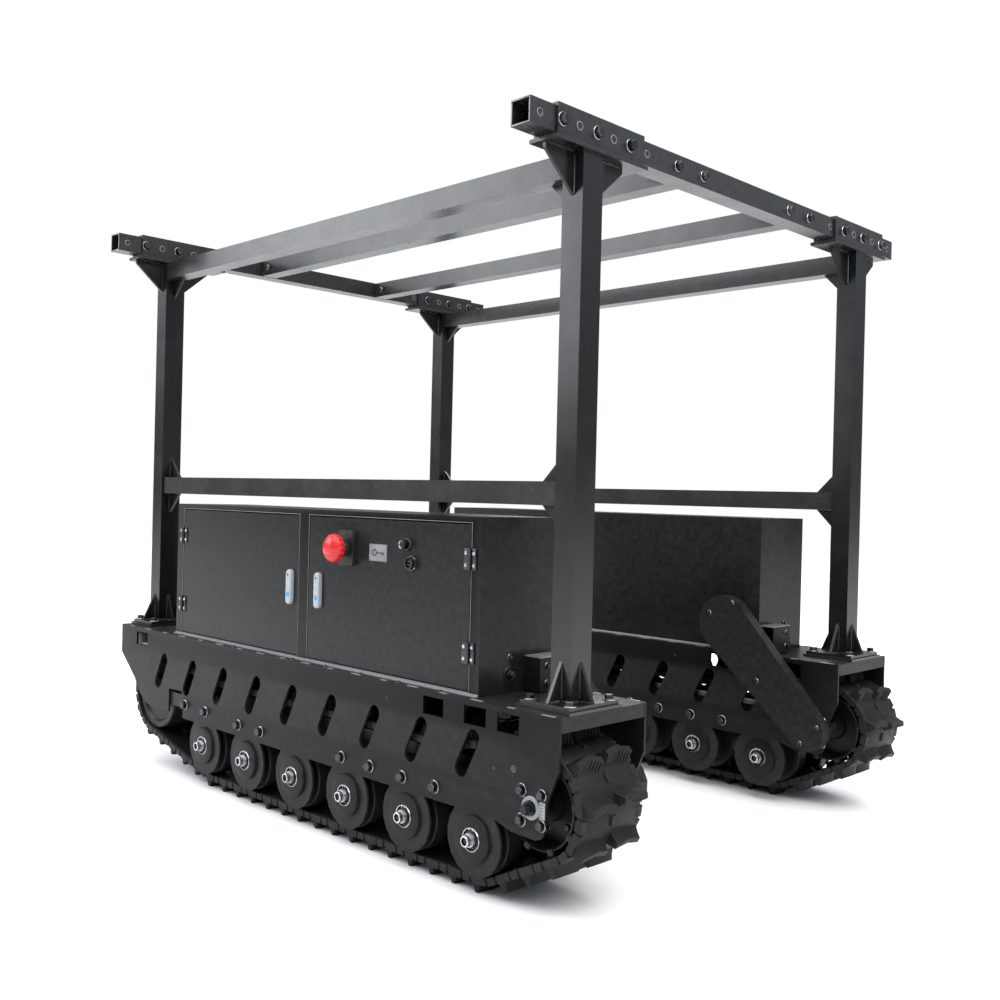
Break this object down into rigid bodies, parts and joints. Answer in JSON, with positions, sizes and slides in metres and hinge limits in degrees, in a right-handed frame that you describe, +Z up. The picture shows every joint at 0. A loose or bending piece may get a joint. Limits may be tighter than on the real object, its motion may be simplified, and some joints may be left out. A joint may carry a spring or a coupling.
{
  "type": "tracked tank chassis",
  "caption": "Black steel gantry chassis on twin rubber-track crawler units, with lockable side cabinets, corner posts and an adjustable-width top frame.",
  "frame": {"origin": "on the ground, at the middle of the overall length and width", "axes": "+X forward, toward the drive-wheel end; +Y from the right-hand unit to the left-hand unit; +Z up"},
  "size_m": [1.9001, 1.536, 1.61],
  "materials": {
    "black_powder_coat": "satin",
    "bare_steel": "satin",
    "dark_cast": "satin",
    "track_rubber": "matte",
    "red_plastic": "gloss",
    "handle_silver": "satin",
    "black_plastic": "matte"
  },
  "bodies": {
    "upper_frame": {"front_cross_tube": "black_powder_coat", "rear_cross_tube": "black_powder_coat", "deck_rail_right": "black_powder_coat", "deck_rail_left": "black_powder_coat"},
    "right_unit": {"right_outer_plate": "black_powder_coat", "right_inner_plate": "black_powder_coat", "right_deck": "black_powder_coat", "right_chain_guard": "black_powder_coat", "right_cabinet": "black_powder_coat", "right_post_front": "black_powder_coat", "right_post_rear": "black_powder_coat", "right_top_rail": "black_powder_coat", "right_mid_rail": "black_powder_coat", "right_axle_beam": "dark_cast", "right_track_belt": "track_rubber", "right_gear_motor": "bare_steel", "right_battery": "black_plastic"},
    "right_wheel_1": {"right_road_wheel_1": "dark_cast"},
    "right_wheel_2": {"right_road_wheel_2": "dark_cast"},
    "right_wheel_3": {"right_road_wheel_3": "dark_cast"},
    "right_wheel_4": {"right_road_wheel_4": "dark_cast"},
    "right_wheel_5": {"right_road_wheel_5": "dark_cast"},
    "right_wheel_6": {"right_road_wheel_6": "dark_cast"},
    "right_drive": {"right_drive_wheel": "dark_cast"},
    "right_tensioner": {"right_idler_fork": "bare_steel"},
    "right_idler": {"right_idler_wheel": "dark_cast"},
    "right_rear_door": {"right_door_rear": "black_powder_coat"},
    "right_rear_handle": {"right_handle_rear": "handle_silver"},
    "right_front_door": {"right_door_front": "black_powder_coat", "estop_bracket": "black_plastic", "charge_socket": "black_plastic"},
    "right_front_handle": {"right_handle_front": "handle_silver"},
    "left_unit": {"left_outer_plate": "black_powder_coat", "left_inner_plate": "black_powder_coat", "left_deck": "black_powder_coat", "left_chain_guard": "black_powder_coat", "left_cabinet": "black_powder_coat", "left_post_front": "black_powder_coat", "left_post_rear": "black_powder_coat", "left_top_rail": "black_powder_coat", "left_mid_rail": "black_powder_coat", "left_axle_beam": "dark_cast", "left_track_belt": "track_rubber", "left_gear_motor": "bare_steel", "left_battery": "black_plastic"},
    "left_wheel_1": {"left_road_wheel_1": "dark_cast"},
    "left_wheel_2": {"left_road_wheel_2": "dark_cast"},
    "left_wheel_3": {"left_road_wheel_3": "dark_cast"},
    "left_wheel_4": {"left_road_wheel_4": "dark_cast"},
    "left_wheel_5": {"left_road_wheel_5": "dark_cast"},
    "left_wheel_6": {"left_road_wheel_6": "dark_cast"},
    "left_drive": {"left_drive_wheel": "dark_cast"},
    "left_tensioner": {"left_idler_fork": "bare_steel"},
    "left_idler": {"left_idler_wheel": "dark_cast"},
    "left_rear_door": {"left_door_rear": "black_powder_coat"},
    "left_rear_handle": {"left_handle_rear": "handle_silver"},
    "left_front_door": {"left_door_front": "black_powder_coat"},
    "left_front_handle": {"left_handle_front": "handle_silver"},
    "estop": {"estop_knob": "red_plastic"},
    "key": {"key_switch": "bare_steel"}
  },
  "joints": [
    {"name": "right_gauge", "type": "slide", "parent": "upper_frame", "child": "right_unit", "axis": [0, -1, 0], "range_m": [-0.06, 0.09]},
    {"name": "right_wheel_1_spin", "type": "hinge", "parent": "right_unit", "child": "right_wheel_1", "pos_m": [-0.44063, -0.555, 0.121], "axis": [0, 1, 0], "continuous": true},
    {"name": "right_wheel_2_spin", "type": "hinge", "parent": "right_unit", "child": "right_wheel_2", "pos_m": [-0.22313, -0.555, 0.121], "axis": [0, 1, 0], "continuous": true},
    {"name": "right_wheel_3_spin", "type": "hinge", "parent": "right_unit", "child": "right_wheel_3", "pos_m": [-0.00563, -0.555, 0.121], "axis": [0, 1, 0], "continuous": true},
    {"name": "right_wheel_4_spin", "type": "hinge", "parent": "right_unit", "child": "right_wheel_4", "pos_m": [0.21187, -0.555, 0.121], "axis": [0, 1, 0], "continuous": true},
    {"name": "right_wheel_5_spin", "type": "hinge", "parent": "right_unit", "child": "right_wheel_5", "pos_m": [0.42937, -0.555, 0.121], "axis": [0, 1, 0], "continuous": true},
    {"name": "right_wheel_6_spin", "type": "hinge", "parent": "right_unit", "child": "right_wheel_6", "pos_m": [0.64687, -0.555, 0.121], "axis": [0, 1, 0], "continuous": true},
    {"name": "right_drive_spin", "type": "hinge", "parent": "right_unit", "child": "right_drive", "pos_m": [0.80887, -0.555, 0.222], "axis": [0, 1, 0], "continuous": true},
    {"name": "right_tension", "type": "slide", "parent": "right_unit", "child": "right_tensioner", "axis": [1, 0, 0], "range_m": [0, 0.006]},
    {"name": "right_idler_spin", "type": "hinge", "parent": "right_tensioner", "child": "right_idler", "pos_m": [-0.75713, -0.555, 0.222], "axis": [0, 1, 0], "continuous": true},
    {"name": "right_rear_door_hinge", "type": "hinge", "parent": "right_unit", "child": "right_rear_door", "pos_m": [-0.62263, -0.667, 0.597], "axis": [0, 0, -1], "range_deg": [0, 110]},
    {"name": "right_rear_handle_lift", "type": "hinge", "parent": "right_rear_door", "child": "right_rear_handle", "pos_m": [-0.07313, -0.6673, 0.637], "axis": [-1, 0, 0], "range_deg": [0, 35]},
    {"name": "right_front_door_hinge", "type": "hinge", "parent": "right_unit", "child": "right_front_door", "pos_m": [0.59237, -0.667, 0.597], "axis": [0, 0, 1], "range_deg": [0, 110]},
    {"name": "right_front_handle_lift", "type": "hinge", "parent": "right_front_door", "child": "right_front_handle", "pos_m": [0.04887, -0.6673, 0.637], "axis": [-1, 0, 0], "range_deg": [0, 35]},
    {"name": "left_gauge", "type": "slide", "parent": "upper_frame", "child": "left_unit", "axis": [0, 1, 0], "range_m": [-0.06, 0.09]},
    {"name": "left_wheel_1_spin", "type": "hinge", "parent": "left_unit", "child": "left_wheel_1", "pos_m": [-0.44063, 0.555, 0.121], "axis": [0, 1, 0], "continuous": true},
    {"name": "left_wheel_2_spin", "type": "hinge", "parent": "left_unit", "child": "left_wheel_2", "pos_m": [-0.22313, 0.555, 0.121], "axis": [0, 1, 0], "continuous": true},
    {"name": "left_wheel_3_spin", "type": "hinge", "parent": "left_unit", "child": "left_wheel_3", "pos_m": [-0.00563, 0.555, 0.121], "axis": [0, 1, 0], "continuous": true},
    {"name": "left_wheel_4_spin", "type": "hinge", "parent": "left_unit", "child": "left_wheel_4", "pos_m": [0.21187, 0.555, 0.121], "axis": [0, 1, 0], "continuous": true},
    {"name": "left_wheel_5_spin", "type": "hinge", "parent": "left_unit", "child": "left_wheel_5", "pos_m": [0.42937, 0.555, 0.121], "axis": [0, 1, 0], "continuous": true},
    {"name": "left_wheel_6_spin", "type": "hinge", "parent": "left_unit", "child": "left_wheel_6", "pos_m": [0.64687, 0.555, 0.121], "axis": [0, 1, 0], "continuous": true},
    {"name": "left_drive_spin", "type": "hinge", "parent": "left_unit", "child": "left_drive", "pos_m": [0.80887, 0.555, 0.222], "axis": [0, 1, 0], "continuous": true},
    {"name": "left_tension", "type": "slide", "parent": "left_unit", "child": "left_tensioner", "axis": [1, 0, 0], "range_m": [0, 0.006]},
    {"name": "left_idler_spin", "type": "hinge", "parent": "left_tensioner", "child": "left_idler", "pos_m": [-0.75713, 0.555, 0.222], "axis": [0, 1, 0], "continuous": true},
    {"name": "left_rear_door_hinge", "type": "hinge", "parent": "left_unit", "child": "left_rear_door", "pos_m": [-0.62263, 0.667, 0.597], "axis": [0, 0, 1], "range_deg": [0, 110]},
    {"name": "left_rear_handle_lift", "type": "hinge", "parent": "left_rear_door", "child": "left_rear_handle", "pos_m": [-0.07313, 0.6673, 0.637], "axis": [1, 0, 0], "range_deg": [0, 35]},
    {"name": "left_front_door_hinge", "type": "hinge", "parent": "left_unit", "child": "left_front_door", "pos_m": [0.59237, 0.667, 0.597], "axis": [0, 0, -1], "range_deg": [0, 110]},
    {"name": "left_front_handle_lift", "type": "hinge", "parent": "left_front_door", "child": "left_front_handle", "pos_m": [0.04887, 0.6673, 0.637], "axis": [1, 0, 0], "range_deg": [0, 35]},
    {"name": "estop_push", "type": "slide", "parent": "right_front_door", "child": "estop", "axis": [0, 1, 0], "range_m": [0, 0.007], "stiffness_N_per_m": 600},
    {"name": "key_turn", "type": "hinge", "parent": "right_front_door", "child": "key", "pos_m": [0.38487, -0.6773, 0.722], "axis": [0, -1, 0], "range_deg": [0, 90]}
  ],
  "couplings": [
    {"joint": "right_wheel_1_spin", "follows": "right_drive_spin", "ratio": 1.2547},
    {"joint": "right_wheel_2_spin", "follows": "right_drive_spin", "ratio": 1.2547},
    {"joint": "right_wheel_3_spin", "follows": "right_drive_spin", "ratio": 1.2547},
    {"joint": "right_wheel_4_spin", "follows": "right_drive_spin", "ratio": 1.2547},
    {"joint": "right_wheel_5_spin", "follows": "right_drive_spin", "ratio": 1.2547},
    {"joint": "right_wheel_6_spin", "follows": "right_drive_spin", "ratio": 1.2547},
    {"joint": "right_idler_spin", "follows": "right_drive_spin", "ratio": 0.9439},
    {"joint": "left_wheel_1_spin", "follows": "left_drive_spin", "ratio": 1.2547},
    {"joint": "left_wheel_2_spin", "follows": "left_drive_spin", "ratio": 1.2547},
    {"joint": "left_wheel_3_spin", "follows": "left_drive_spin", "ratio": 1.2547},
    {"joint": "left_wheel_4_spin", "follows": "left_drive_spin", "ratio": 1.2547},
    {"joint": "left_wheel_5_spin", "follows": "left_drive_spin", "ratio": 1.2547},
    {"joint": "left_wheel_6_spin", "follows": "left_drive_spin", "ratio": 1.2547},
    {"joint": "left_idler_spin", "follows": "left_drive_spin", "ratio": 0.9439}
  ]
}
